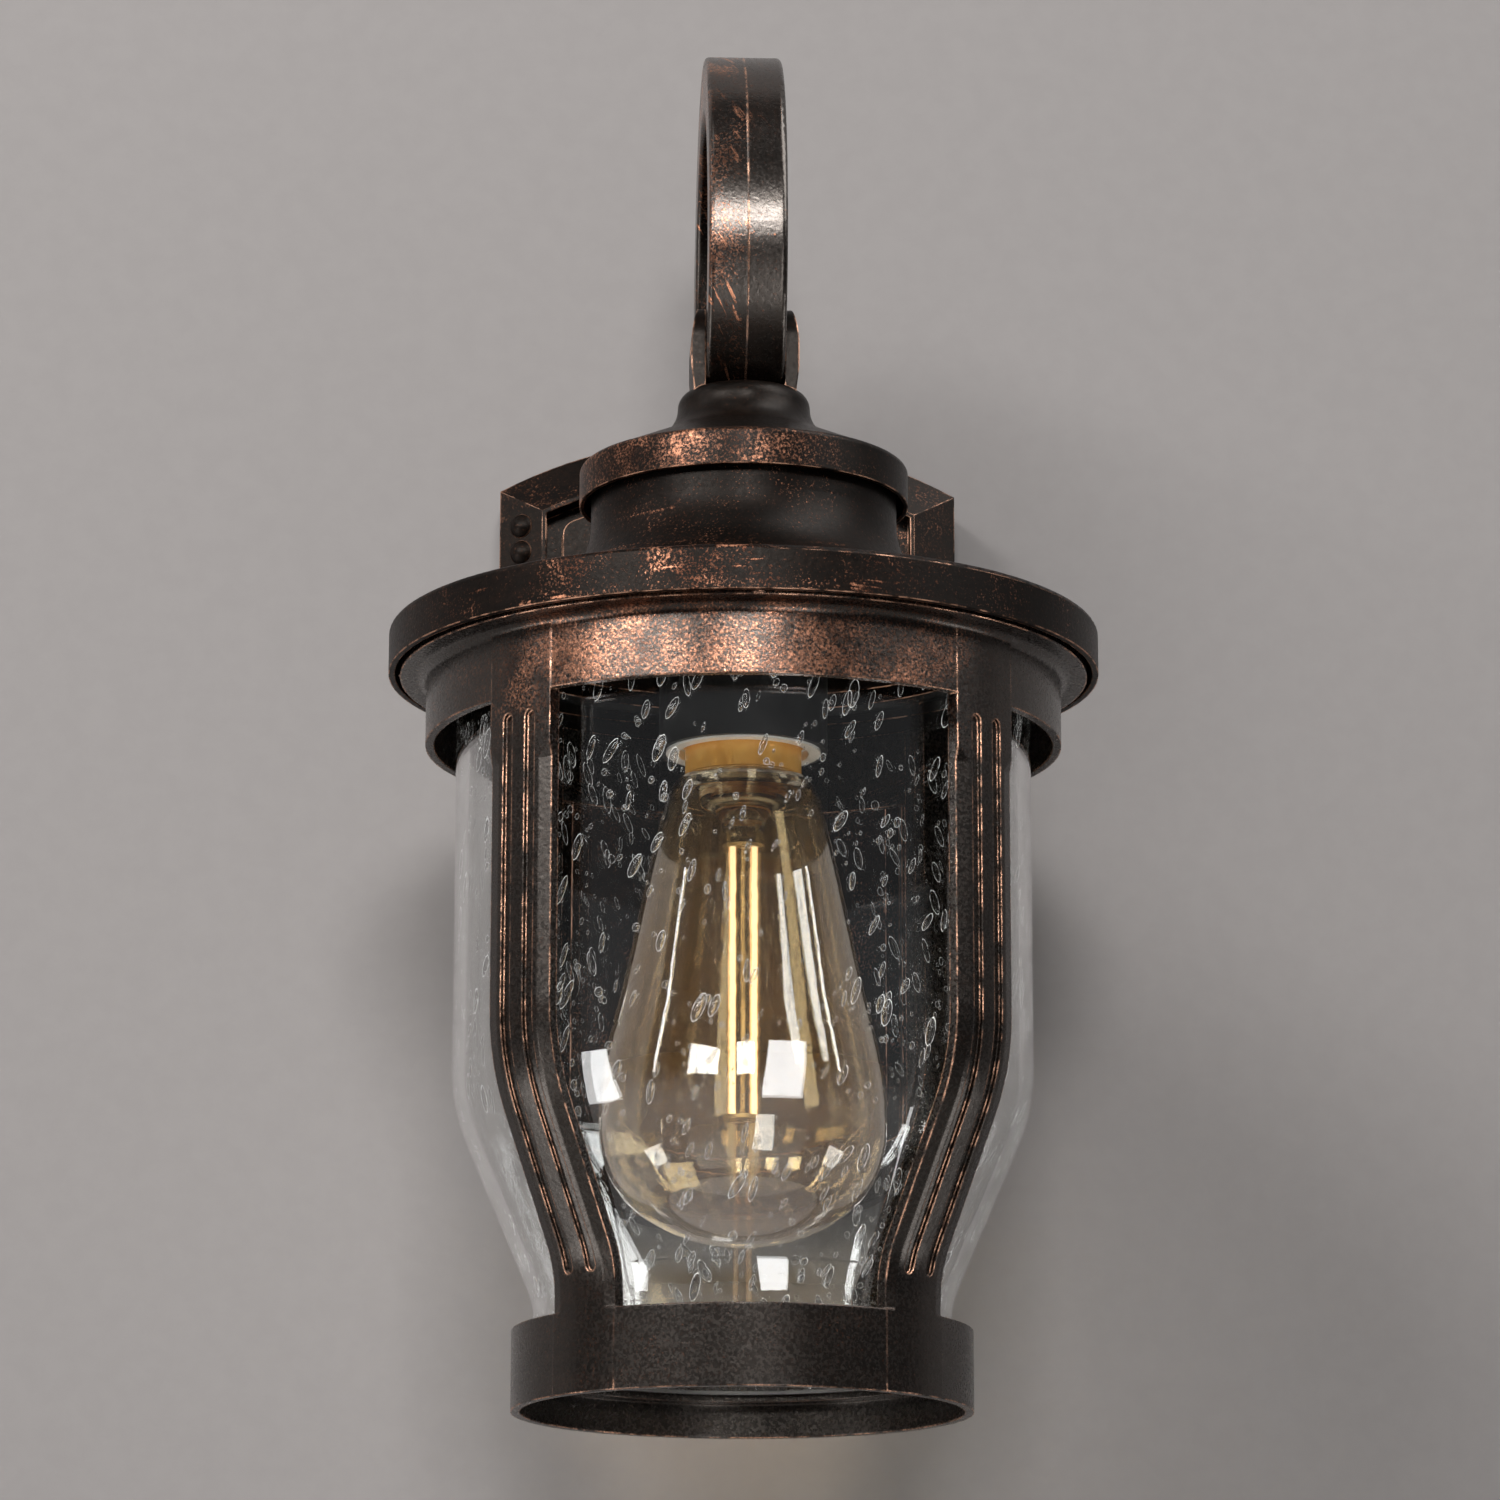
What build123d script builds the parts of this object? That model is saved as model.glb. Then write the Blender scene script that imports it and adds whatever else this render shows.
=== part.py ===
from build123d import *
import os
from math import sin, cos, tan, acos, sqrt, radians, degrees

# Outdoor wall lantern: an open-bottomed glass shade in a four-ribbed cage, under a brimmed
# cap that hangs from a crook arm on an arched backplate. Millimetres, +Z up, front at -Y.
# Everything is laid out round the lantern's own axis with z = 0 at the foot of the cage,
# and moved to the finished frame, whose origin is the wall plane at the plate's centre.

# ---- where the lantern hangs ----
axis_to_wall = 112.0
mount_height = 153.0          # centre of the backplate above the foot of the cage

# ---- cage casting ----
foot_radius = 50.8
foot_height = 17.7
cage_wall = 2.0
ledge_height = 7.6
ledge_thickness = 1.6
ledge_reach = 4.4
collar_radius = 71.5
collar_foot = 149.3
collar_height = 15.7
collar_cove = 2.2
flange_overhang = 5.9
flange_thickness = 2.0
rib_count = 4
rib_width = 18.0
rib_thickness = 2.8
rib_lean = 26.0
rib_proud = 0.15
rib_shoulder = 50.0
rib_heel = 25.0
rib_heel_rise = 3.5           # straight stretch of rib above the foot ring
rib_bevel_width = 3.0
rib_bevel_drop = 1.0
rib_bevel_stop = 15.0         # where the bevels die out below the collar
flute_width = 2.7
flute_depth = 1.0
flute_spacing = 6.6
flute_stop = 4.0

# ---- screws that join brim and cage ----
join_count = 4
join_radius = 1.7
join_head = 3.4
join_lug = 3.5
join_lug_height = 3.0

# ---- glass shade ----
glass_wall = 3.0
glass_collar_gap = 4.9
glass_foot_gap = 2.8
glass_lean = 23.0
glass_shoulder = 42.0
glass_heel = 20.0
glass_heel_height = 19.5
glass_height = 171.5
seat_gasket = 0.8
top_gasket = 1.5

# ---- cap body: brim, roof and neck ----
brim_radius = 80.0
brim_depth = 9.9
brim_wall = 1.4
brim_edge = 1.0
skirt_lift = 0.6              # brim lip above the underside of the cage flange
roof_slope = 12.0
roof_wall = 2.4
cove_radius = 20.0
neck_radius = 34.7
neck_top = 211.9

# ---- upper cap: band, ogee top, button and clevis ----
band_radius = 37.35
band_wall = 1.0
band_foot = 205.7
band_height = 8.7
band_edge = 1.2
ogee_slope = 24.0
ogee_cove = 8.0
button_radius = 15.1
button_shoulder = 3.6
button_top = 232.6
button_well = 7.5
ear_gap = 0.1
ear_thickness = 3.3
ear_tip_thickness = 1.6
ear_width = 17.0
ear_height = 20.0
ear_belly = 4.5
pin_radius = 1.8
pin_rise = 9.5
pin_setback = 3.0
pin_clearance = 0.04

# ---- crook arm, two hollow halves ----
arm_width = 17.8
arm_depth = 13.0
arm_wall = 2.2
arm_edge = 1.2
arm_crown_radius = 49.0
arm_crown_centre = 266.0
arm_curl_radius = 32.0
arm_leg = 44.0
arm_foot_bend = 13.0
arm_end_gap = 0.3
arm_end_chamfer = 0.6
arm_end_reach = 6.0           # how far the curl carries on behind the lantern's axis
arm_flange_width = 34.0
arm_flange_height = 26.0
arm_flange_thickness = 3.0
arm_screw_spacing = 26.0
arm_screw_radius = 2.0
arm_screw_bite = 1.8
arm_panel_gap = 0.15

# ---- backplate ----
plate_half_width = 55.7
plate_half_height = 98.0
plate_arch_rise = 14.5
plate_edge_depth = 14.0
plate_depth = 20.0
plate_border = 10.3
plate_ridge = 1.0
plate_channel = 4.1
plate_channel_depth = 6.0
plate_wall = 2.4
panel_sink = 1.0              # panel face behind the border's ridge
panel_corner = 4.0
wall_gasket_thickness = 1.5
wall_gasket_width = 2.0
rivet_radius = 3.0
rivet_rise = 1.8
rivet_shank = 1.4
rivet_depth = 2.2
rivet_pitch = 6.6
rivet_drop = 9.5              # upper rivet below the plate's corner

# ---- wall strap behind the plate ----
box_screw_near = 34.9
box_screw_far = 44.5
box_slot_radius = 2.4
strap_height = 24.0
strap_thickness = 2.0
strap_tab = 13.0
strap_side_gap = 0.3
side_screw_radius = 2.0
side_screw_head = 3.8
side_screw_head_rise = 2.2
side_screw_tail = 4.0
side_screw_setback = 8.5      # screw line in front of the wall
ground_screw_offset = 18.0
ground_screw_radius = 2.3
ground_head_radius = 4.5
ground_head_rise = 2.4
wire_hole_radius = 8.0
wire_hole_offset = -14.0

# ---- centre nipple, socket and wiring ----
nipple_radius = 4.85
nipple_bore = 3.5
nipple_top = 227.0
thread_clearance = 0.05
hex_across_flats = 14.0
hex_height = 3.5
socket_radius = 19.0
socket_wall = 1.3
socket_foot = 148.4
socket_height = 41.0
porcelain_gap = 0.3
porcelain_drop = 0.4
porcelain_mouth = 14.7
porcelain_lip = 2.0
porcelain_roof = 172.4
porcelain_floor = 6.0
porcelain_well = 10.0
shell_wall = 0.5
shell_length = 19.0
contact_width = 6.0
contact_length = 18.0
contact_thickness = 0.8
contact_button = 2.5
contact_gap = 0.3
socket_screw_radius = 1.4
socket_screw_head = 2.6
socket_screw_rise = 1.5
socket_screw_bite = 7.0
socket_screw_circle = 13.5
lead_radius = 0.95
lead_spacing = 2.6
lead_bend = 5.0
lead_tail = 162.0

# ---- lamp: long pear-shaped filament bulb on a medium screw base ----
bulb_radius = 32.0
bulb_foot = 37.1
bulb_belly = 64.6
bulb_waist = 92.4
bulb_wall = 0.9
bulb_collar_radius = 17.0
bulb_collar = 138.0
base_radius = 13.1
base_foot = 142.8
base_length = 22.5
base_wall = 0.5
base_clearance = 0.3
cone_length = 3.0
tip_radius = 4.8
tip_length = 1.6
stem_radius = 4.6
stem_flare = 6.0
stem_flare_height = 12.8
stem_foot = 132.0
rod_radius = 0.5
rod_spacing = 6.4
strand_count = 4
strand_radius = 0.8
strand_circle = 3.4
strand_top = 126.0
strand_bottom = 66.0
spider_thickness = 0.8

# ---- worked out from the sizes above ----
rib_top_radius = collar_radius + rib_proud
rib_foot_radius = foot_radius + rib_proud
flange_foot = collar_foot + collar_height
flange_top = flange_foot + flange_thickness
flange_radius = collar_radius + flange_overhang
join_circle = flange_radius - join_lug + 0.3
join_top = flange_top + join_lug_height
ledge_top = ledge_height + ledge_thickness
ledge_radius = foot_radius - cage_wall - ledge_reach
glass_radius = collar_radius - cage_wall - glass_collar_gap
glass_foot_radius = foot_radius - cage_wall - glass_foot_gap
glass_foot = ledge_top + seat_gasket
glass_stop = glass_height + top_gasket
brim_foot = flange_foot + skirt_lift
brim_top = brim_foot + brim_depth
brim_bore = brim_radius - brim_wall
band_top = band_foot + band_height
ear_inner = arm_width / 2 + ear_gap
ear_outer = ear_inner + ear_thickness
arm_end = button_top + arm_end_gap
panel_y = axis_to_wall - wall_gasket_thickness - plate_depth + panel_sink
panel_back = panel_y + plate_wall
arm_leg_y = panel_y - arm_foot_bend
arm_crown_y = arm_leg_y - arm_crown_radius
arm_front_y = arm_crown_y - arm_crown_radius
curl_centre_y = arm_front_y + arm_curl_radius
arm_foot_z = arm_crown_centre - arm_leg - arm_foot_bend
arm_flange_back = panel_back + arm_flange_thickness
plate_back = axis_to_wall - wall_gasket_thickness
socket_top = socket_foot + socket_height
shell_radius = base_radius + base_clearance + shell_wall
tip_top = base_foot + base_length + cone_length + tip_length


# ---------------------------------------------------------------- helpers
def place(shape):
    """Move a shape from the lantern's own axis to the frame at the wall."""
    return Pos(0, -axis_to_wall, -mount_height) * shape


def place_all(shapes):
    """Move a group of separate solids and keep them separate."""
    return Compound(children=[place(shape) for shape in shapes])


def spin(edges):
    """Solid of revolution about the lantern's axis from a closed half section."""
    return revolve(Plane.XZ * make_face(edges), Axis.Z, 360)


def spin_outline(*points):
    """Solid of revolution from the corners of a half section."""
    return spin(Polyline(*points, close=True).edges())


def ring(inner, outer, low, high):
    """Plain upright ring, or a disc when inner is 0."""
    solid = Pos(0, 0, low) * extrude(Circle(outer), high - low)
    if inner > 0:
        solid -= Pos(0, 0, low - 1) * extrude(Circle(inner), high - low + 2)
    return solid


def around(shape, count, start=0.0):
    """The same shape repeated round the lantern's axis."""
    return [Rot(0, 0, start + turn * 360 / count) * shape for turn in range(count)]


def bar_y(radius, x, z, start, end):
    """Round bar that runs along Y from start to end."""
    return Pos(x, start, z) * Rot(-90, 0, 0) * extrude(Circle(radius), end - start)


def bar_x(radius, y, z, start, end):
    """Round bar that runs along X from start to end."""
    return Pos(start, y, z) * Rot(0, 90, 0) * extrude(Circle(radius), end - start)


def leaning_side(radius, foot, low, high, turn, lean, shoulder, heel):
    """Edges of an upright line that leans inwards and comes upright again, from the top."""
    angle = radians(lean)
    across = radius - foot - (shoulder + heel) * (1 - cos(angle))
    run = across / sin(angle)
    rise = (shoulder + heel) * sin(angle) + run * cos(angle)
    top = Line((radius, high), (radius, turn + rise))
    bend_in = JernArc(top @ 1, (0, -1), shoulder, -lean)
    slope = Line(bend_in @ 1, bend_in @ 1 + Vector(-sin(angle), -cos(angle)) * run)
    bend_out = JernArc(slope @ 1, (-sin(angle), -cos(angle)), heel, lean)
    bottom = Line(bend_out @ 1, (foot, low))
    return [top, bend_in, slope, bend_out, bottom]


def leaning_wall(radius, foot, low, high, turn, lean, shoulder, heel, wall):
    """Closed section of a wall whose outside is a leaning_side, with an even thickness."""
    outside = leaning_side(radius, foot, low, high, turn, lean, shoulder, heel)
    inside = leaning_side(radius - wall, foot - wall, low, high, turn, lean,
                          shoulder - wall, heel + wall)
    return outside + inside + [Line(outside[0] @ 0, inside[0] @ 0),
                               Line(outside[-1] @ 1, inside[-1] @ 1)]


# ---------------------------------------------------------------- cage
def rib_skin(low, high, lift, depth):
    """Ring of revolution under the ribs' outer surface, lifted and as thick as a depth."""
    return spin(leaning_wall(rib_top_radius + lift, rib_foot_radius + lift, low, high,
                             foot_height + rib_heel_rise, rib_lean, rib_shoulder + lift,
                             rib_heel - lift, depth + lift))


def bevel_section(face, side, inner, drop, height):
    """Wedge across one long edge of a rib at a height."""
    edge = rib_width / 2 + rib_bevel_drop
    corners = [(face, side * inner), (face - drop, side * edge),
               (face + rib_bevel_drop, side * edge), (face + rib_bevel_drop, side * inner)]
    return Pos(0, 0, height) * make_face(Polyline(*corners, close=True))


def bevel_cutter(side):
    """Bar that bevels one long edge of a rib and runs out to nothing near the collar."""
    high = collar_foot - rib_bevel_stop
    inner = rib_width / 2 - rib_bevel_width
    crown = rib_top_radius - sqrt(rib_top_radius ** 2 - inner ** 2)
    face = rib_top_radius - crown
    drop = rib_bevel_drop * (rib_bevel_width + rib_bevel_drop) / rib_bevel_width
    section = bevel_section(face, side, inner, drop, high)
    line = leaning_side(face, rib_foot_radius - crown, foot_height, high,
                        foot_height + rib_heel_rise, rib_lean, rib_shoulder, rib_heel)
    bar = sweep(section, Plane.XZ * Wire(line))
    end = high + 2 * rib_bevel_width
    thin = bevel_section(face, side, rib_width / 2 + rib_bevel_drop / 2, drop / 50, end)
    return bar + loft([section, thin], ruled=True)


def flute_cutter(offset):
    """Round-ended groove cutter: a slot seen from outside, as deep as the rib's skin."""
    low = foot_height + 2 * flute_stop
    length = collar_foot - flute_stop - low
    slot = SlotOverall(length, flute_width, rotation=90)
    prism = extrude(Plane.YZ * (Pos(offset, low + length / 2) * slot), 2 * collar_radius)
    return prism & rib_skin(ledge_top, flange_top, flute_depth, flute_depth)


def rib():
    """One cast rib: a leaning strap, bevelled along its edges, with two flutes."""
    slab = Box(2 * collar_radius, rib_width, 2 * flange_top,
               align=(Align.MIN, Align.CENTER, Align.CENTER))
    strap = slab & rib_skin(ledge_top, flange_top, 0, rib_thickness)
    strap += slab & ring(foot_radius - cage_wall / 2, rib_foot_radius, 0, ledge_top)
    for side in (-1, 1):
        strap -= bevel_cutter(side)
        strap -= flute_cutter(side * flute_spacing / 2)
    return strap


def collar():
    """Collar with a cove under its flange."""
    bore = collar_radius - cage_wall
    cove = JernArc((collar_radius, flange_foot - collar_cove), (0, 1), collar_cove, -90)
    return spin([
        Line((bore, collar_foot), (collar_radius, collar_foot)),
        Line((collar_radius, collar_foot), cove @ 0),
        cove,
        Line(cove @ 1, (flange_radius, flange_foot)),
        Line((flange_radius, flange_foot), (flange_radius, flange_top)),
        Line((flange_radius, flange_top), (bore, flange_top)),
        Line((bore, flange_top), (bore, collar_foot)),
    ])


def cage():
    """Foot ring with its glass ledge, four ribs, collar and top flange in one casting."""
    body = ring(foot_radius - cage_wall, foot_radius, 0, foot_height)
    body += ring(ledge_radius, foot_radius - cage_wall / 2, ledge_height, ledge_top)
    body += collar()
    body += around(rib(), rib_count, 45)
    lug = Pos(join_circle, 0, 0) * ring(0, join_lug, flange_foot + 0.5, join_top)
    hole = Pos(join_circle, 0, 0) * ring(0, join_radius, flange_foot + 1, join_top + 1)
    body += around(lug, join_count)
    body -= around(hole, join_count)
    return body


def join_screws():
    """Countersunk screws, down through the brim into the flange lugs."""
    top = roof_height(join_circle + join_head) - 0.1
    cone = join_head - join_radius
    shank = join_radius - thread_clearance
    screw = spin_outline((0, flange_foot + 1.5), (shank, flange_foot + 1.5),
                         (shank, top - cone), (join_head, top), (0, top))
    return around(Pos(join_circle, 0, 0) * screw, join_count)


# ---------------------------------------------------------------- glass
def glass_shade():
    """Open-ended glass sleeve that draws in to the foot ring."""
    return spin(leaning_wall(glass_radius, glass_foot_radius, glass_foot, glass_height,
                             glass_heel_height, glass_lean, glass_shoulder, glass_heel,
                             glass_wall))


def glass_seat():
    """Thin ring between the glass and the ledge."""
    return ring(glass_foot_radius - glass_wall, glass_foot_radius, ledge_top, glass_foot)


def glass_top_gasket():
    """Soft ring between the glass rim and the cap."""
    return ring(glass_radius - glass_wall, glass_radius, glass_height, glass_stop)


# ---------------------------------------------------------------- cap
def roof_height(radius):
    """Height of the roof's straight slope at a radius."""
    return brim_top + (brim_radius - brim_edge - radius) * tan(radians(roof_slope))


def roof_line(wall, outer):
    """Roof outline from the brim in and up to the neck top, set in by a wall."""
    tilt = radians(roof_slope)
    centre_x = neck_radius + cove_radius
    touch_x = centre_x - cove_radius * sin(tilt)
    centre_y = roof_height(touch_x) + cove_radius * cos(tilt)
    cove = cove_radius + wall
    start = Vector(centre_x - cove * sin(tilt), centre_y - cove * cos(tilt))
    slope = Line((outer, start.Y - (outer - start.X) * tan(tilt)), start)
    bend = JernArc(start, (-cos(tilt), sin(tilt)), cove, roof_slope - 90)
    neck = Line(bend @ 1, (neck_radius - wall, neck_top - wall))
    return [slope, bend, neck]


def cap_body():
    """Brim with a deep skirt, coved roof and neck, with the stop ring for the glass."""
    outside = roof_line(0, brim_radius - brim_edge)
    inside = roof_line(roof_wall, brim_bore)
    hole = nipple_radius + thread_clearance
    edge = JernArc((brim_radius, brim_top - brim_edge), (0, 1), brim_edge, 90)
    body = spin(outside + inside + [
        edge,
        Line((brim_radius, brim_foot), edge @ 0),
        Line((brim_bore, brim_foot), (brim_radius, brim_foot)),
        Line((brim_bore, brim_foot), inside[0] @ 0),
        Line(outside[-1] @ 1, (hole, neck_top)),
        Line((hole, neck_top), (hole, neck_top - roof_wall)),
        Line((hole, neck_top - roof_wall), inside[-1] @ 1),
    ])
    stop_top = roof_height(glass_radius) - roof_wall / 2
    body += ring(glass_radius - glass_wall, glass_radius, glass_stop, stop_top)
    boss_top = roof_height(join_circle) - roof_wall / 2
    boss = Pos(join_circle, 0, 0) * ring(0, join_lug, join_top, boss_top)
    body += around(boss, join_count)
    free = join_radius + 0.1
    top = roof_height(join_circle + join_head)
    cone = join_head - join_radius
    sink = spin_outline((0, join_top - 1), (free, join_top - 1), (free, top - cone),
                        (free + cone, top), (free + cone, top + 3), (0, top + 3))
    body -= around(Pos(join_circle, 0, 0) * sink, join_count)
    return body


def ears():
    """Pair of clevis cheeks, swollen low down and rounded over the top."""
    low = button_top - button_shoulder
    wide = button_top + ear_belly
    high = button_top + ear_height
    radius = ear_width / 2
    column = Pos(0, (low + high - radius) / 2) * Rectangle(ear_width, high - radius - low)
    side_view = Plane.YZ * (column + Pos(0, high - radius) * Circle(radius))
    block = extrude(side_view, ear_outer, both=True)
    tip = ear_inner + ear_tip_thickness
    cheek = Polyline((tip, high), (ear_inner, high), (ear_inner, low), (ear_outer - 1, low),
                     (ear_outer, wide))
    swell = ThreePointArc((ear_outer, wide), ((ear_outer + tip) / 2 + 0.7, (wide + high) / 2),
                          (tip, high))
    blank = extrude(Plane.XZ * make_face(cheek.edges() + swell.edges()), ear_width, both=True)
    return [block & blank, block & mirror(blank, Plane.YZ)]


def upper_cap():
    """Band, ogee top and button in one casting, with the two ears that hold the arm."""
    hole = nipple_radius + thread_clearance
    slope = radians(ogee_slope)
    touch_x = button_radius + ogee_cove - ogee_cove * sin(slope)
    edge = JernArc((band_radius, band_top - band_edge), (0, 1), band_edge, 90)
    touch_y = band_top + (band_radius - band_edge - touch_x) * tan(slope)
    incline = Line(edge @ 1, (touch_x, touch_y))
    cove = JernArc((touch_x, touch_y), (-cos(slope), sin(slope)), ogee_cove, ogee_slope - 90)
    side = Line(cove @ 1, (button_radius, button_top - button_shoulder))
    crown = JernArc(side @ 1, (0, 1), button_shoulder, 90)
    bore = band_radius - band_wall
    body = spin([
        edge, incline, cove, side, crown,
        Line(crown @ 1, (button_well, button_top)),
        Line((button_well, button_top), (button_well, nipple_top)),
        Line((button_well, nipple_top), (hole, nipple_top)),
        Line((hole, nipple_top), (hole, neck_top)),
        Line((hole, neck_top), (bore, neck_top)),
        Line((bore, neck_top), (bore, band_foot)),
        Line((bore, band_foot), (band_radius, band_foot)),
        Line((band_radius, band_foot), edge @ 0),
    ])
    body += ears()
    return body - pin_bar(pin_radius + pin_clearance, 2 * ear_outer)


def pin_bar(radius, reach):
    """Cross bar through the ears and the arm's end."""
    return bar_x(radius, -pin_setback, button_top + pin_rise, -reach, reach)


def clevis_pin():
    """Plain pin, just short of the ears' faces."""
    return pin_bar(pin_radius, ear_outer - 0.6)


# ---------------------------------------------------------------- crook arm
def crook_line(angle):
    """Arm line from behind the panel over the crown and round the curl by an angle."""
    bend = JernArc((panel_y, arm_foot_z), (-1, 0), arm_foot_bend, -90)
    post = Line(bend @ 1, (arm_leg_y, arm_crown_centre))
    over = JernArc(post @ 1, (0, 1), arm_crown_radius, 180)
    curl = JernArc(over @ 1, (0, -1), arm_curl_radius, angle)
    return [bend, post, over, curl]


def arm_tube():
    """Hollow arm in one piece, with its end cut level over the button."""
    stub = Line((arm_flange_back, arm_foot_z), (panel_y, arm_foot_z))
    angle = degrees(acos((curl_centre_y - arm_end_reach) / arm_curl_radius))
    path = Plane.YZ * Wire([stub] + crook_line(angle))
    plane = Plane((0, arm_flange_back, arm_foot_z), x_dir=(1, 0, 0), z_dir=(0, -1, 0))
    outer = plane * RectangleRounded(arm_width, arm_depth, arm_edge)
    inner = plane * Rectangle(arm_width - 2 * arm_wall, arm_depth - 2 * arm_wall)
    tube = sweep(outer, path)
    flange = Box(arm_flange_width, arm_flange_thickness, arm_flange_height)
    tube += Pos(0, arm_flange_back - arm_flange_thickness / 2, arm_foot_z) * flange
    tube -= sweep(inner, path)
    below = Box(2 * arm_width, 4 * arm_curl_radius, arm_curl_radius)
    tube -= Pos(0, 0, arm_end - arm_curl_radius / 2) * below
    rim = tube.edges().filter_by(Axis.X).filter_by_position(Axis.Z, arm_end - 0.1, arm_end + 0.1)
    tube = chamfer(rim.sort_by(Axis.Y)[0], arm_end_chamfer)
    for side in (-1, 1):
        x = side * arm_screw_spacing / 2
        radius = arm_screw_radius + 0.2
        tube -= bar_y(radius, x, arm_foot_z, panel_back - 1, arm_flange_back + 1)
    return tube - pin_bar(pin_radius + pin_clearance, arm_width)


def arm_half(tube, side):
    """One half of the arm, cut down its middle."""
    reach = 4 * (arm_crown_radius + arm_leg)
    keep = Box(arm_flange_width, reach, reach, align=(Align.MIN, Align.CENTER, Align.CENTER))
    half = tube & Pos(0, 0, arm_crown_centre) * keep
    if side < 0:
        half = mirror(half, Plane.YZ)
    return half


def arm_screws():
    """Two pan-head screws that pull the arm's foot against the panel from behind."""
    screws = []
    for side in (-1, 1):
        x = side * arm_screw_spacing / 2
        tip = panel_back - arm_screw_bite
        shank = bar_y(arm_screw_radius - thread_clearance, x, arm_foot_z, tip, arm_flange_back)
        head = bar_y(2 * arm_screw_radius, x, arm_foot_z, arm_flange_back, arm_flange_back + 2)
        screws.append(shank + head)
    return screws


# ---------------------------------------------------------------- backplate
def plate_outline(inset):
    """Arched outline of the plate, drawn in by an inset."""
    corner = plate_half_height - plate_arch_rise
    top = ThreePointArc((plate_half_width, corner), (0, plate_half_height),
                        (-plate_half_width, corner))
    bottom = ThreePointArc((-plate_half_width, -corner), (0, -plate_half_height),
                           (plate_half_width, -corner))
    face = make_face([top, bottom, Line(top @ 1, bottom @ 0), Line(bottom @ 1, top @ 0)])
    if inset > 0:
        face = offset(face, -inset, kind=Kind.INTERSECTION)
    return face


def plate_slab(face, start, end):
    """Slab between two depths measured forward from the plate's back."""
    facing = Plane((0, plate_back - start, mount_height), x_dir=(1, 0, 0), z_dir=(0, -1, 0))
    return extrude(facing * face, end - start)


def plate_level(face, depth):
    """Plate outline standing at a depth in front of the plate's back."""
    facing = Plane((0, plate_back - depth, mount_height), x_dir=(1, 0, 0), z_dir=(0, -1, 0))
    return facing * face


def backplate():
    """Hollow plate: bevelled border, sunk channel and raised panel, all arched alike."""
    inner_ridge = plate_border + plate_ridge
    panel_inset = inner_ridge + plate_channel
    floor = plate_depth - plate_channel_depth
    panel = plate_outline(panel_inset)
    panel = fillet(panel.vertices(), panel_corner)
    body = plate_slab(plate_outline(0), 0, plate_edge_depth)
    body += loft([plate_level(plate_outline(0), plate_edge_depth),
                  plate_level(plate_outline(plate_border), plate_depth)], ruled=True)
    body -= plate_slab(plate_outline(inner_ridge), floor, plate_depth + 1)
    body += plate_slab(panel, floor - 1, plate_depth - panel_sink)
    body -= plate_slab(plate_outline(plate_wall), -1, floor - plate_wall)
    body -= plate_slab(offset(panel, -plate_wall), 0, plate_depth - panel_sink - plate_wall)
    opening = RectangleRounded(arm_width + 2 * arm_panel_gap, arm_depth + 2 * arm_panel_gap,
                               arm_edge)
    facing = Plane((0, panel_back + 1, arm_foot_z), x_dir=(1, 0, 0), z_dir=(0, -1, 0))
    body -= extrude(facing * opening, plate_wall + 2)
    for side in (-1, 1):
        tip = panel_back - arm_screw_bite
        x = side * arm_screw_spacing / 2
        body -= bar_y(arm_screw_radius, x, arm_foot_z, tip, panel_back + 1)
        reach = plate_half_width + 1
        hole = bar_x(side_screw_radius + 0.2, axis_to_wall - side_screw_setback, mount_height,
                     plate_half_width - plate_wall - 1, reach)
        body -= hole if side > 0 else mirror(hole, Plane.YZ)
    for step in range(2):
        body -= rivet_spot(step) * Pos(0, 0, -rivet_depth) * extrude(
            Circle(rivet_shank + thread_clearance), rivet_depth + 1)
    return body


def rivet_spot(step):
    """Location on the left border's slope, with Z out of the surface."""
    middle = plate_half_width - plate_border / 2
    depth = (plate_edge_depth + plate_depth) / 2
    rise = plate_depth - plate_edge_depth
    top = mount_height + plate_half_height - plate_arch_rise - rivet_drop
    plane = Plane((-middle, plate_back - depth, top - step * rivet_pitch),
                  x_dir=(0, 0, 1), z_dir=(-rise, -plate_border, 0))
    return plane.location


def plate_rivets():
    """Two round-headed rivets, one over the other on the left border."""
    rivets = []
    for step in range(2):
        dome_radius = (rivet_radius ** 2 + rivet_rise ** 2) / (2 * rivet_rise)
        dome = Pos(0, 0, rivet_rise - dome_radius) * Sphere(dome_radius)
        head = dome & Pos(0, 0, rivet_rise) * Cylinder(rivet_radius, 2 * rivet_rise)
        shank = Pos(0, 0, 0.2 - rivet_depth) * extrude(Circle(rivet_shank), rivet_depth)
        rivets.append(rivet_spot(step) * (head + shank))
    return rivets


def wall_gasket():
    """Foam frame between the plate's rim and the wall."""
    frame = plate_outline(0.3) - plate_outline(0.3 + wall_gasket_width)
    facing = Plane((0, axis_to_wall, mount_height), x_dir=(1, 0, 0), z_dir=(0, -1, 0))
    return extrude(facing * frame, wall_gasket_thickness)


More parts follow.
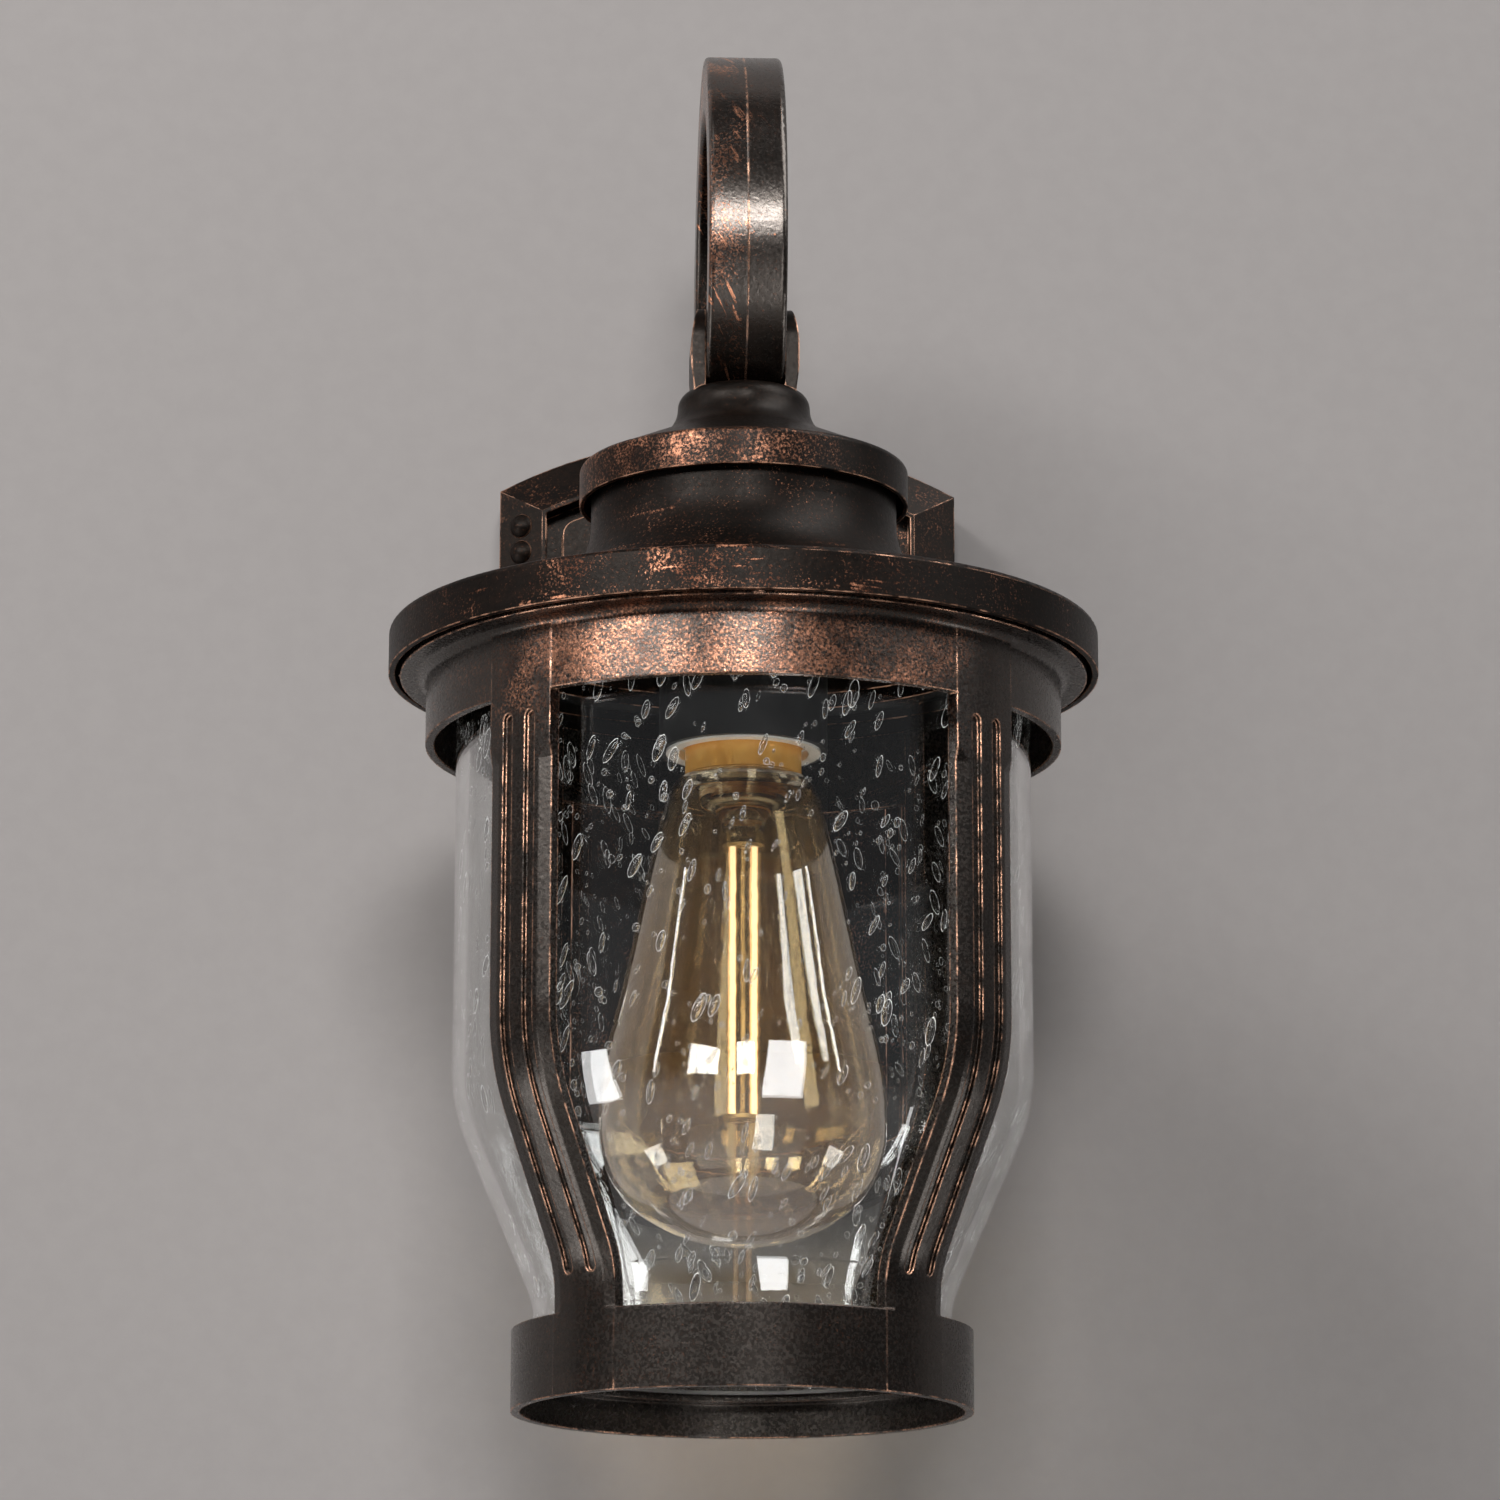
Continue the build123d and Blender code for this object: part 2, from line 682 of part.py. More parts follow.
def wall_strap():
    """Steel strap over the outlet box, with two slots and two tabs for the side screws."""
    half = plate_half_width - plate_wall - strap_side_gap
    back = axis_to_wall
    front = back - strap_thickness
    body = Pos(0, (front + back) / 2, mount_height) * Box(2 * half, strap_thickness, strap_height)
    for side in (-1, 1):
        tab_x = side * (half - strap_thickness / 2)
        tab = Box(strap_thickness, strap_tab, strap_height)
        body += Pos(tab_x, back - strap_tab / 2, mount_height) * tab
        slot = SlotCenterToCenter(box_screw_far - box_screw_near, 2 * box_slot_radius)
        middle = side * (box_screw_near + box_screw_far) / 2
        facing = Plane((middle, back + 1, mount_height), x_dir=(1, 0, 0), z_dir=(0, -1, 0))
        body -= extrude(facing * slot, strap_thickness + 2)
    body -= bar_y(wire_hole_radius, wire_hole_offset, mount_height, front - 1, back + 1)
    body -= bar_y(ground_screw_radius, ground_screw_offset, mount_height, front - 1, back + 1)
    centre = axis_to_wall - side_screw_setback
    return body - bar_x(side_screw_radius, centre, mount_height, -half - 1, half + 1)


def ground_screw():
    """Green screw for the earth wire, in the strap beside the wire hole."""
    front = axis_to_wall - strap_thickness
    shank = bar_y(ground_screw_radius - thread_clearance, ground_screw_offset, mount_height,
                  front, axis_to_wall)
    head = bar_y(ground_head_radius, ground_screw_offset, mount_height,
                 front - ground_head_rise, front)
    return shank + head


def side_screws():
    """Two screws through the plate's sides into the strap's tabs."""
    face = plate_half_width
    centre = axis_to_wall - side_screw_setback
    tail = face - plate_wall - strap_side_gap - side_screw_tail
    screw = bar_x(side_screw_radius - thread_clearance, centre, mount_height, tail, face)
    screw += bar_x(side_screw_head, centre, mount_height, face, face + side_screw_head_rise)
    rim = screw.faces().sort_by(Axis.X)[-1].edges()
    screw = fillet(rim, side_screw_head_rise * 0.6)
    return [screw, mirror(screw, Plane.YZ)]


# ---------------------------------------------------------------- nipple, socket and leads
def nipple():
    """Hollow threaded rod that hangs the socket and clamps the two caps."""
    return ring(nipple_bore, nipple_radius, socket_top - socket_wall - hex_height - 1, nipple_top)


def hex_nuts():
    """Nuts under the neck and on both sides of the socket cup's top."""
    flat = RegularPolygon(hex_across_flats / 2, 6, major_radius=False)
    flat -= Circle(nipple_radius + thread_clearance)
    nut = extrude(flat, hex_height)
    levels = [neck_top - roof_wall - hex_height, socket_top, socket_top - socket_wall - hex_height]
    return [Pos(0, 0, level) * nut for level in levels]


def socket_cup():
    """Black cup with a flat top that hangs on the nipple."""
    bore = socket_radius - socket_wall
    hole = nipple_radius + 0.2
    roof = socket_top - socket_wall
    corner = JernArc((socket_radius, socket_top - socket_wall), (0, 1), socket_wall, 90)
    body = spin([
        corner,
        Line((socket_radius, socket_foot), corner @ 0),
        Line((bore, socket_foot), (socket_radius, socket_foot)),
        Line((bore, socket_foot), (bore, roof)),
        Line((bore, roof), (hole, roof)),
        Line((hole, roof), (hole, socket_top)),
        Line((hole, socket_top), corner @ 1),
    ])
    hole = Pos(socket_screw_circle, 0, 0) * ring(0, socket_screw_radius, roof - 1, socket_top + 1)
    return body - around(hole, 2)


def porcelain():
    """Glazed insert: mouth, seat for the screw shell, and a well over its floor."""
    outer = socket_radius - socket_wall - porcelain_gap
    foot = socket_foot - porcelain_drop
    seat = foot + porcelain_lip
    bore = shell_radius + thread_clearance
    floor = porcelain_roof + porcelain_floor
    top = socket_top - socket_wall
    body = spin_outline((porcelain_mouth, foot), (outer, foot), (outer, top),
                        (porcelain_well, top), (porcelain_well, floor), (0, floor),
                        (0, porcelain_roof), (bore, porcelain_roof), (bore, seat),
                        (porcelain_mouth, seat))
    blind = Pos(socket_screw_circle, 0, 0) * ring(0, socket_screw_radius,
                                                  top - socket_screw_bite, top + 1)
    body -= around(blind, 2)
    for side in (-1, 1):
        x = side * lead_spacing / 2
        body -= Pos(x, 0, 0) * ring(0, lead_radius + 0.1, porcelain_roof + 3, floor + 1)
    return body


def socket_screws():
    """Two screws through the cup's top into the porcelain."""
    bottom = socket_top - socket_wall - socket_screw_bite + 0.5
    shank = socket_screw_radius - thread_clearance
    screw = ring(0, shank, bottom, socket_top)
    screw += ring(0, socket_screw_head, socket_top, socket_top + socket_screw_rise)
    return around(Pos(socket_screw_circle, 0, 0) * screw, 2)


def screw_shell():
    """Brass sleeve that takes the lamp's base."""
    seat = socket_foot - porcelain_drop + porcelain_lip
    return ring(shell_radius - shell_wall, shell_radius, seat, seat + shell_length)


def centre_contact():
    """Brass strip with a button that meets the lamp's tip."""
    strip = Box(contact_length, contact_width, contact_thickness)
    body = Pos(0, 0, porcelain_roof - contact_thickness / 2) * strip
    body += ring(0, contact_button, tip_top + contact_gap, porcelain_roof - contact_thickness / 2)
    return body


def lead_line():
    """Route of a lead: up the nipple, along the arm and down behind the panel."""
    turn = (curl_centre_y + lead_bend) / (arm_curl_radius + lead_bend)
    angle = degrees(acos(turn))
    bend_z = arm_crown_centre - (arm_curl_radius + lead_bend) * sin(radians(angle))
    low = porcelain_roof + 3.2
    up = Line((0, low), (0, bend_z))
    hook = JernArc(up @ 1, (0, 1), lead_bend, angle)
    curl = JernArc(hook @ 1, hook % 1, arm_curl_radius, -angle)
    over = JernArc(curl @ 1, (0, 1), arm_crown_radius, -180)
    post = Line(over @ 1, (arm_leg_y, arm_crown_centre - arm_leg))
    foot = JernArc(post @ 1, (0, -1), arm_foot_bend, 90)
    stub = Line(foot @ 1, (arm_flange_back + 2, arm_foot_z))
    drop = JernArc(stub @ 1, (1, 0), lead_bend, -90)
    tail = Line(drop @ 1, ((drop @ 1).X, lead_tail))
    return [up, hook, curl, over, post, foot, stub, drop, tail]


def lead(side):
    """One insulated lead through the arm."""
    path = Plane.YZ * Wire(lead_line())
    section = Pos(*(path @ 0)) * Circle(lead_radius)
    return Pos(side * lead_spacing / 2, 0, 0) * sweep(section, path)


# ---------------------------------------------------------------- lamp
def bulb_line(wall):
    """Side of the pear from its foot to the collar, set in by the glass wall."""
    belly = (bulb_radius - wall, bulb_belly)
    crown = Spline((0, bulb_foot + wall), (bulb_radius * 0.56, bulb_foot + bulb_radius * 0.13 + wall), belly,
                   tangents=[(1, 0), (0, 1)])
    taper = Spline(belly, (bulb_radius * 0.855 - wall, bulb_waist),
                   (bulb_collar_radius - wall, bulb_collar), tangents=[(0, 1), (-0.3, 1)])
    return [crown, taper]


def bulb_glass():
    """Blown envelope, closed below and open at the collar that enters the base."""
    outer = bulb_line(0)
    inner = bulb_line(bulb_wall)
    neck = base_radius - base_wall
    shoulder = Spline(outer[1] @ 1, (neck, base_foot), tangents=[(-0.3, 1), (-1, 0.25)])
    return spin(outer + inner + [
        shoulder,
        Line(outer[0] @ 0, inner[0] @ 0),
        Line(shoulder @ 1, (neck, base_foot + 4)),
        Line((neck, base_foot + 4), (neck - bulb_wall, base_foot + 4)),
        Line((neck - bulb_wall, base_foot + 4), (neck - bulb_wall, bulb_collar + 1)),
        Line((neck - bulb_wall, bulb_collar + 1), inner[1] @ 1),
    ])


def bulb_base():
    """Screw base, plain outside with the clearance of its thread."""
    return ring(base_radius - base_wall, base_radius, base_foot, base_foot + base_length)


def base_insulator():
    """Glass cone that closes the base round its tip."""
    top = base_foot + base_length
    return spin_outline((0, top - 2), (base_radius - base_wall, top - 2),
                        (base_radius - base_wall, top), (tip_radius, top + cone_length),
                        (0, top + cone_length))


def base_tip():
    """Centre contact of the base."""
    low = tip_top - tip_length
    body = ring(0, tip_radius, low, tip_top)
    return fillet(body.edges().group_by(Axis.Z)[-1], tip_length * 0.6)


def bulb_stem():
    """Glass stem that flares out to the collar."""
    flare = JernArc((stem_radius, base_foot - stem_flare_height), (0, 1), stem_flare, -80)
    rim = Line(flare @ 1, (base_radius - base_wall - bulb_wall - 0.02, base_foot))
    top = base_foot + 1.2
    return spin([
        Line((0, stem_foot), (stem_radius, stem_foot)),
        Line((stem_radius, stem_foot), flare @ 0),
        flare, rim,
        Line(rim @ 1, ((rim @ 1).X, top)),
        Line(((rim @ 1).X, top), (0, top)),
        Line((0, top), (0, stem_foot)),
    ])


def bulb_mount():
    """Support wires and the two spiders that carry the filament strands."""
    wires = [Pos(side * rod_spacing / 2, 0, 0) * ring(0, rod_radius, strand_top, stem_foot)
             for side in (-1, 1)]
    reach = strand_circle + strand_radius
    top = ring(0, reach + 0.6, strand_top, strand_top + spider_thickness)
    foot = ring(0, reach + 0.2, strand_bottom - spider_thickness, strand_bottom)
    post = ring(0, rod_radius, strand_bottom - spider_thickness, strand_top + spider_thickness)
    return top + foot + post + wires


def bulb_strands():
    """Upright filament strands between the spiders."""
    strand = ring(0, strand_radius, strand_bottom, strand_top)
    return around(Pos(strand_circle, 0, 0) * strand, strand_count, 45)


def main():
    os.makedirs("parts", exist_ok=True)
    tube = arm_tube()
    parts = {
        "cage": place(cage()),
        "join_screws": place_all(join_screws()),
        "glass_shade": place(glass_shade()),
        "glass_seat": place(glass_seat()),
        "glass_top_gasket": place(glass_top_gasket()),
        "cap_body": place(cap_body()),
        "upper_cap": place(upper_cap()),
        "clevis_pin": place(clevis_pin()),
        "arm_right": place(arm_half(tube, 1)),
        "arm_left": place(arm_half(tube, -1)),
        "arm_screws": place_all(arm_screws()),
        "backplate": place(backplate()),
        "plate_rivets": place_all(plate_rivets()),
        "wall_gasket": place(wall_gasket()),
        "wall_strap": place(wall_strap()),
        "ground_screw": place(ground_screw()),
        "side_screws": place_all(side_screws()),
        "nipple": place(nipple()),
        "hex_nuts": place_all(hex_nuts()),
        "socket_cup": place(socket_cup()),
        "porcelain": place(porcelain()),
        "socket_screws": place_all(socket_screws()),
        "screw_shell": place(screw_shell()),
        "centre_contact": place(centre_contact()),
        "lead_live": place(lead(-1)),
        "lead_neutral": place(lead(1)),
        "bulb_glass": place(bulb_glass()),
        "bulb_base": place(bulb_base()),
        "base_insulator": place(base_insulator()),
        "base_tip": place(base_tip()),
        "bulb_stem": place(bulb_stem()),
        "bulb_mount": place(bulb_mount()),
        "bulb_strands": place_all(bulb_strands()),
    }
    for name, shape in parts.items():
        export_step(shape, f"parts/{name}.step")


main()
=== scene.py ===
import random
from math import cos, pi, radians, sin

import bmesh
import bpy
from mathutils import Matrix, Vector


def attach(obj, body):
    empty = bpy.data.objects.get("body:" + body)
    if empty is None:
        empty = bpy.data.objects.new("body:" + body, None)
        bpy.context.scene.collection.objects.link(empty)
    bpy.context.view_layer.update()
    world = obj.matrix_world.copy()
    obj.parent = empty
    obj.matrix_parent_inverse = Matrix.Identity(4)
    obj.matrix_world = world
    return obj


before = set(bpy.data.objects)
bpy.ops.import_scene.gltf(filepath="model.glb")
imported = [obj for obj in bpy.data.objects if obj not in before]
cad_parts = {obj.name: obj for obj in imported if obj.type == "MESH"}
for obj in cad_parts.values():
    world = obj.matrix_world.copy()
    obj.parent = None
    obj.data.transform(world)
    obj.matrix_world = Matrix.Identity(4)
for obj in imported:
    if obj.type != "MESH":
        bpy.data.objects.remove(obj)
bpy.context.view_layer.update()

MM = 0.001
AXIS_Y = -0.112              # the lantern's upright axis, in front of the wall
FOOT_Z = -0.153              # underside of the cage's foot ring
MIDDLE = (0, AXIS_Y, 0)      # the lantern's axis at the height of the plate's centre
UP = (0, 0, 1)
LEFT = (-1, 0, 0)
RIGHT = (1, 0, 0)


# ------------------------------------------------------------------ node helpers
class Nodes:
    """Short way to write a material's node tree."""

    def __init__(self, name):
        self.material = bpy.data.materials.new(name)
        self.material.use_nodes = True
        self.tree = self.material.node_tree
        self.tree.nodes.clear()
        self.output = self.tree.nodes.new("ShaderNodeOutputMaterial")

    def add(self, kind, **settings):
        node = self.tree.nodes.new("ShaderNode" + kind)
        for key, value in settings.items():
            setattr(node, key, value)
        return node

    def put(self, node, socket, value):
        """Link a node's output to a socket, or write a constant there."""
        target = node.inputs[socket]
        if isinstance(value, bpy.types.NodeSocket):
            self.tree.links.new(value, target)
        else:
            target.default_value = value

    def fill(self, node, sockets):
        for socket, value in sockets.items():
            self.put(node, socket, value)
        return node

    def shader(self, kind, sockets=None):
        return self.fill(self.add(kind), sockets or {}).outputs[0]

    def blend(self, factor, a, b):
        """Mix of two shaders."""
        return self.shader("MixShader", {0: factor, 1: a, 2: b})

    def noise(self, vector, scale, detail=3.0, rough=0.5, distort=0.0):
        node = self.fill(self.add("TexNoise"), {
            "Vector": vector, "Scale": scale, "Detail": detail, "Roughness": rough,
            "Distortion": distort})
        return node.outputs["Fac"]

    def stretch(self, vector, scale, turn=(0, 0, 0)):
        """Coordinates turned first and then scaled, so that strokes may run at a slant."""
        if any(turn):
            turned = self.fill(self.add("Mapping"), {"Vector": vector, "Rotation": turn})
            vector = turned.outputs["Vector"]
        node = self.fill(self.add("Mapping"), {"Vector": vector, "Scale": scale})
        return node.outputs["Vector"]

    def vector(self, operation, *values):
        node = self.add("VectorMath", operation=operation)
        self.fill(node, dict(enumerate(values)))
        return node.outputs["Value" if operation == "DOT_PRODUCT" else "Vector"]

    def normal(self):
        return self.add("NewGeometry").outputs["Normal"]

    def along(self, vector, direction, low, high, bottom=0.0, top=1.0):
        """Ramp from one value to another between two distances along a direction."""
        return self.ramp(self.vector("DOT_PRODUCT", vector, direction), low, high, bottom, top)

    def outward(self, vector):
        """1 on faces turned away from the lantern's upright axis and 0 on the inner faces."""
        spoke = self.vector("MULTIPLY", self.vector("SUBTRACT", vector, MIDDLE), (1, 1, 0))
        facing = self.vector("DOT_PRODUCT", self.vector("NORMALIZE", spoke), self.normal())
        return self.ramp(facing, -0.5, 0.1)

    def ramp(self, value, low, high, bottom=0.0, top=1.0):
        """Smooth step from bottom to top while a value goes from low to high."""
        node = self.fill(self.add("MapRange", interpolation_type="SMOOTHSTEP"), {
            "Value": value, "From Min": low, "From Max": high, "To Min": bottom, "To Max": top})
        return node.outputs["Result"]

    def math(self, operation, a, b, clamp=False):
        node = self.add("Math", operation=operation, use_clamp=clamp)
        return self.fill(node, {0: a, 1: b}).outputs[0]

    def mix(self, factor, a, b):
        """Mix of two colours; a constant one is three linear values."""
        node = self.add("Mix", data_type="RGBA")
        self.put(node, 0, factor)
        for socket, color in ((6, a), (7, b)):
            self.put(node, socket, (*color, 1.0) if isinstance(color, tuple) else color)
        return node.outputs[2]

    def bump(self, height, strength, distance, normal=None):
        node = self.fill(self.add("Bump"), {
            "Height": height, "Strength": strength, "Distance": distance})
        if normal is not None:
            self.put(node, "Normal", normal)
        return node.outputs["Normal"]

    def finish(self, shader):
        self.tree.links.new(shader, self.output.inputs["Surface"])
        return self.material


def srgb(r, g, b):
    """Linear colour from 0 to 255 display values."""
    return tuple((c / 255 / 12.92) if c / 255 <= 0.04045 else ((c / 255 + 0.055) / 1.055) ** 2.4
                 for c in (r, g, b))


# ------------------------------------------------------------------ materials
DARK_BRONZE = srgb(6, 4, 3)
WARM_BRONZE = srgb(24, 15, 10)
RED_COPPER = srgb(86, 53, 39)
COPPER = srgb(196, 136, 106)
# Pale copper for worn edges, lighter than bare copper as a painted highlight
EDGE_WEAR_HIGHLIGHT = srgb(228, 176, 146)
BRONZE_SHEEN = (1.0, 0.88, 0.79, 1.0)

FLECK_SCALE = 1700.0         # noise scales, higher is finer
GLOSS_SCALE = 1300.0
TONE_SCALE = 900.0
GRAIN_SCALE = 700.0
WEAR_SCALE = 190.0
BARE_SCALE = 130.0
FLECK_COVER = 0.40           # how much a rubbed patch adds to the flecks' noise
FLECK_START = 0.62
BARE_COVER = 0.45
EDGE_REACH = 0.0006          # how far from an edge the copper line of wear and painted highlight reaches
EDGE_SAMPLES = 6
QUIET_SHARE = 0.25           # share of the edge line that stays in a quiet band
GRAIN_STRENGTH = 0.5
GRAIN_HEIGHT = 0.00008
GLASS_IOR = 1.5


def bronze(name, ground, rub, patches, strokes, gloss, shine, offset,
           stroke_scale=(25, 25, 320), turn=(0, 0, 0), rub_and_shade_fades=(), hollow=False,
           cloud_scale=(34, 34, 260), crisp=0.94, quiet=None):
    """Near-black paint with fine copper flecks, dense where it was rubbed, and worn copper
    edges, pale as a painted highlight.

    A fade is a direction, two distances along it, and the share of the rubbing kept before
    the first and after the second; along UP it changes the rubbing by height, and along LEFT
    and RIGHT it thins the copper towards the sides as painted shade. A quiet band is two
    heights between which edges stay dark.
    """
    n = Nodes(name)
    place = n.add("TexCoord").outputs["Object"]
    coords = n.vector("ADD", place, (offset, offset * 0.7, offset * 1.3))

    cover = n.ramp(n.noise(coords, patches, 5.0, 0.62), 0.36, 0.66, ground, ground + rub)
    stroke = n.noise(n.stretch(coords, stroke_scale, turn), 1.0, 4.0, 0.62, 0.3)
    stroke = n.math("MULTIPLY", n.ramp(stroke, 0.50, 0.68), strokes)
    clump = n.ramp(n.noise(coords, patches * 1.7, 2.0), 0.42, 0.6)
    cover = n.math("MAXIMUM", cover, n.math("MULTIPLY", stroke, clump))
    # Along UP a fade changes the rubbing by height; along LEFT and RIGHT it is painted shade on
    # the sides
    for fade in rub_and_shade_fades:
        cover = n.math("MULTIPLY", cover, n.along(place, *fade))
    if hollow:
        cover = n.math("MULTIPLY", cover, n.outward(place))
    fine = n.noise(coords, FLECK_SCALE, 3.0, 0.7)
    fleck = n.math("ADD", fine, n.math("MULTIPLY", cover, FLECK_COVER))
    fleck = n.ramp(fleck, FLECK_START, crisp)

    bevel = n.fill(n.add("Bevel", samples=EDGE_SAMPLES), {"Radius": EDGE_REACH}).outputs[0]
    flatness = n.vector("DOT_PRODUCT", bevel, n.normal())
    sharp = n.ramp(n.math("SUBTRACT", 1.0, flatness), 0.012, 0.08)
    worn = n.ramp(n.noise(coords, WEAR_SCALE, 4.0, 0.65), 0.36, 0.58)
    # Edges worn to copper; the pale colour they get below is a painted highlight
    line = n.math("MULTIPLY", sharp, worn)
    if quiet:
        foot, head = quiet
        below = n.along(place, UP, foot, foot + MM, 1.0, QUIET_SHARE)
        above = n.along(place, UP, head - MM, head, QUIET_SHARE, 1.0)
        line = n.math("MULTIPLY", line, n.math("MAXIMUM", below, above))
    copper = n.math("MAXIMUM", fleck, line, clamp=True)

    cloud = n.ramp(n.noise(n.stretch(coords, cloud_scale), 1.0, 4.0, 0.65), 0.35, 0.65)
    speckle = n.ramp(n.noise(coords, TONE_SCALE, 3.0, 0.7), 0.3, 0.7)
    base = n.mix(n.math("MULTIPLY", cloud, speckle), DARK_BRONZE, WARM_BRONZE)
    bare = n.math("ADD", n.noise(coords, BARE_SCALE, 4.0, 0.6),
                  n.math("MULTIPLY", cover, BARE_COVER))
    # Worn edges take the pale copper: bare metal with a painted highlight on it
    metal = n.mix(line, n.mix(n.ramp(bare, 0.52, 0.86), RED_COPPER, COPPER), EDGE_WEAR_HIGHLIGHT)
    grain = n.math("ADD", n.noise(coords, GRAIN_SCALE, 2.0, 0.5, 0.8),
                   n.math("MULTIPLY", copper, 0.2))
    return n.finish(n.shader("BsdfPrincipled", {
        "Base Color": n.mix(copper, base, metal),
        "Metallic": n.math("MULTIPLY", copper, 0.85),
        "Specular IOR Level": shine,
        "Specular Tint": BRONZE_SHEEN,
        "Roughness": n.ramp(n.noise(coords, GLOSS_SCALE, 3.0, 0.6), 0.3, 0.7, *gloss),
        "Normal": n.bump(grain, GRAIN_STRENGTH, GRAIN_HEIGHT, bevel)}))


def plain(name, color, metallic, low, high, scale=400.0, bump=0.1, second=None):
    """Even finish with a slight change of colour and gloss, and a fine surface grain."""
    n = Nodes(name)
    coords = n.add("TexCoord").outputs["Object"]
    cloud = n.noise(coords, scale * 0.2, 4.0, 0.6)
    other = second or tuple(c * 0.72 for c in color)
    return n.finish(n.shader("BsdfPrincipled", {
        "Base Color": n.mix(n.ramp(cloud, 0.35, 0.7), other, color),
        "Metallic": metallic,
        "Roughness": n.ramp(cloud, 0.3, 0.7, low, high),
        "Normal": n.bump(n.noise(coords, scale * 3, 3.0), bump, 0.0001)}))


def lets_lamplight_through(n, surface, through):
    """A surface that only shadow rays pass as if it were a clear film."""
    return n.finish(n.blend(n.add("LightPath").outputs["Is Shadow Ray"], surface, through))


def clear(name, tint, shade, coat=0.0, coat_ior=1.5, veil=None, veil_face=0.0, painted_rim_sheen=0.0,
          rim=(0.5, 0.95)):
    """Real glass, with a coat for a brighter mirror and an optional veil of colour that thickens
    at the outline as a painted reflection.
    """
    n = Nodes(name)
    surface = n.shader("BsdfPrincipled", {
        "Base Color": (*tint, 1.0), "Transmission Weight": 1.0, "Roughness": 0.0,
        "IOR": GLASS_IOR, "Coat Weight": coat, "Coat Roughness": 0.0, "Coat IOR": coat_ior})
    if veil:
        film = n.shader("BsdfPrincipled", {"Base Color": (*veil, 1.0), "Roughness": 0.25})
        facing = n.add("LayerWeight").outputs["Facing"]
        surface = n.blend(n.ramp(facing, *rim, veil_face, painted_rim_sheen), surface, film)
    through = n.shader("BsdfTransparent", {"Color": (*(c * shade for c in tint), 1.0)})
    return lets_lamplight_through(n, surface, through)


def seed(name):
    """Thin-walled look of a bubble: clear in the middle, with a painted reflection round its
    outline that glows a little.
    """
    n = Nodes(name)
    white = (1.0, 1.0, 0.98, 1.0)
    facing = n.add("LayerWeight").outputs["Facing"]
    bend = n.shader("BsdfPrincipled", {
        "Transmission Weight": 1.0, "Roughness": 0.0, "IOR": 1 / GLASS_IOR})
    # White film that glows a little: a painted reflection round the bubble's outline
    film = n.shader("BsdfPrincipled", {
        "Base Color": white, "Roughness": 0.2, "Emission Color": white,
        "Emission Strength": 0.7})
    empty = n.shader("BsdfTransparent")
    inner = n.blend(0.25, empty, bend)
    outline = n.blend(n.ramp(facing, 0.62, 0.84), inner, film)
    return lets_lamplight_through(n, outline, empty)


def strand_painted_glow(name, painted_core, rim, strength):
    """Warm strand with a painted glow, pale down its middle as a painted bright stripe and amber
    at its sides.
    """
    n = Nodes(name)
    facing = n.add("LayerWeight").outputs["Facing"]
    color = n.mix(n.ramp(facing, 0.15, 0.8), painted_core, rim)
    return n.finish(n.shader("BsdfPrincipled", {
        "Base Color": color, "Emission Color": color, "Roughness": 0.45,
        "Emission Strength": strength}))


# Each side fade thins the copper towards a side, more on the right: painted shade
bronze_cage = bronze(
    "bronze_cast", 0.42, 0.30, 42, strokes=0.6, gloss=(0.21, 0.32), shine=0.55, offset=0.53,
    rub_and_shade_fades=((UP, -0.022, 0.002, 0.24, 1.0), (LEFT, -0.07, -0.02, 0.3, 1.0),
           (RIGHT, -0.075, -0.03, 0.4, 1.0)),
    hollow=True, quiet=(-0.1515, -0.1285))
# Each side fade thins the copper towards a side: painted shade
bronze_cap = bronze(
    "bronze_brim", 0.08, 0.32, 72, strokes=0.8, gloss=(0.34, 0.44), shine=0.1, offset=0.31,
    stroke_scale=(28, 28, 460),
    rub_and_shade_fades=((UP, 0.030, 0.036, 1.0, 0.5), (LEFT, -0.06, 0.0, 0.5, 1.0),
           (RIGHT, -0.07, -0.03, 0.5, 1.0)),
    hollow=True, crisp=0.82)
# The LEFT fade thins the copper on the right side: painted shade
bronze_top = bronze(
    "bronze_button", 0.34, 0.32, 60, strokes=0.5, gloss=(0.32, 0.42), shine=0.12, offset=0.77,
    rub_and_shade_fades=((LEFT, -0.03, 0.015, 0.35, 1.0), (UP, 0.0605, 0.0625, 1.0, 0.2)))
# The LEFT fade thins the copper on the right side: painted shade
bronze_arm = bronze(
    "bronze_crook", 0.02, 0.45, 50, strokes=1.3, gloss=(0.20, 0.28), shine=0.75, offset=1.3,
    stroke_scale=(520, 60, 50), turn=(0, radians(30), 0),
    rub_and_shade_fades=((LEFT, -0.004, 0.006, 0.25, 1.0),), cloud_scale=(300, 40, 40), crisp=0.84)
bronze_plate = bronze(
    "bronze_wall", 0.06, 0.3, 40, strokes=0.3, gloss=(0.38, 0.46), shine=0.12, offset=2.1)
steel = plain("zinc", srgb(190, 190, 186), 1.0, 0.28, 0.5)
brass = plain("bright_brass", srgb(255, 202, 108), 0.2, 0.2, 0.3, second=srgb(246, 178, 78))
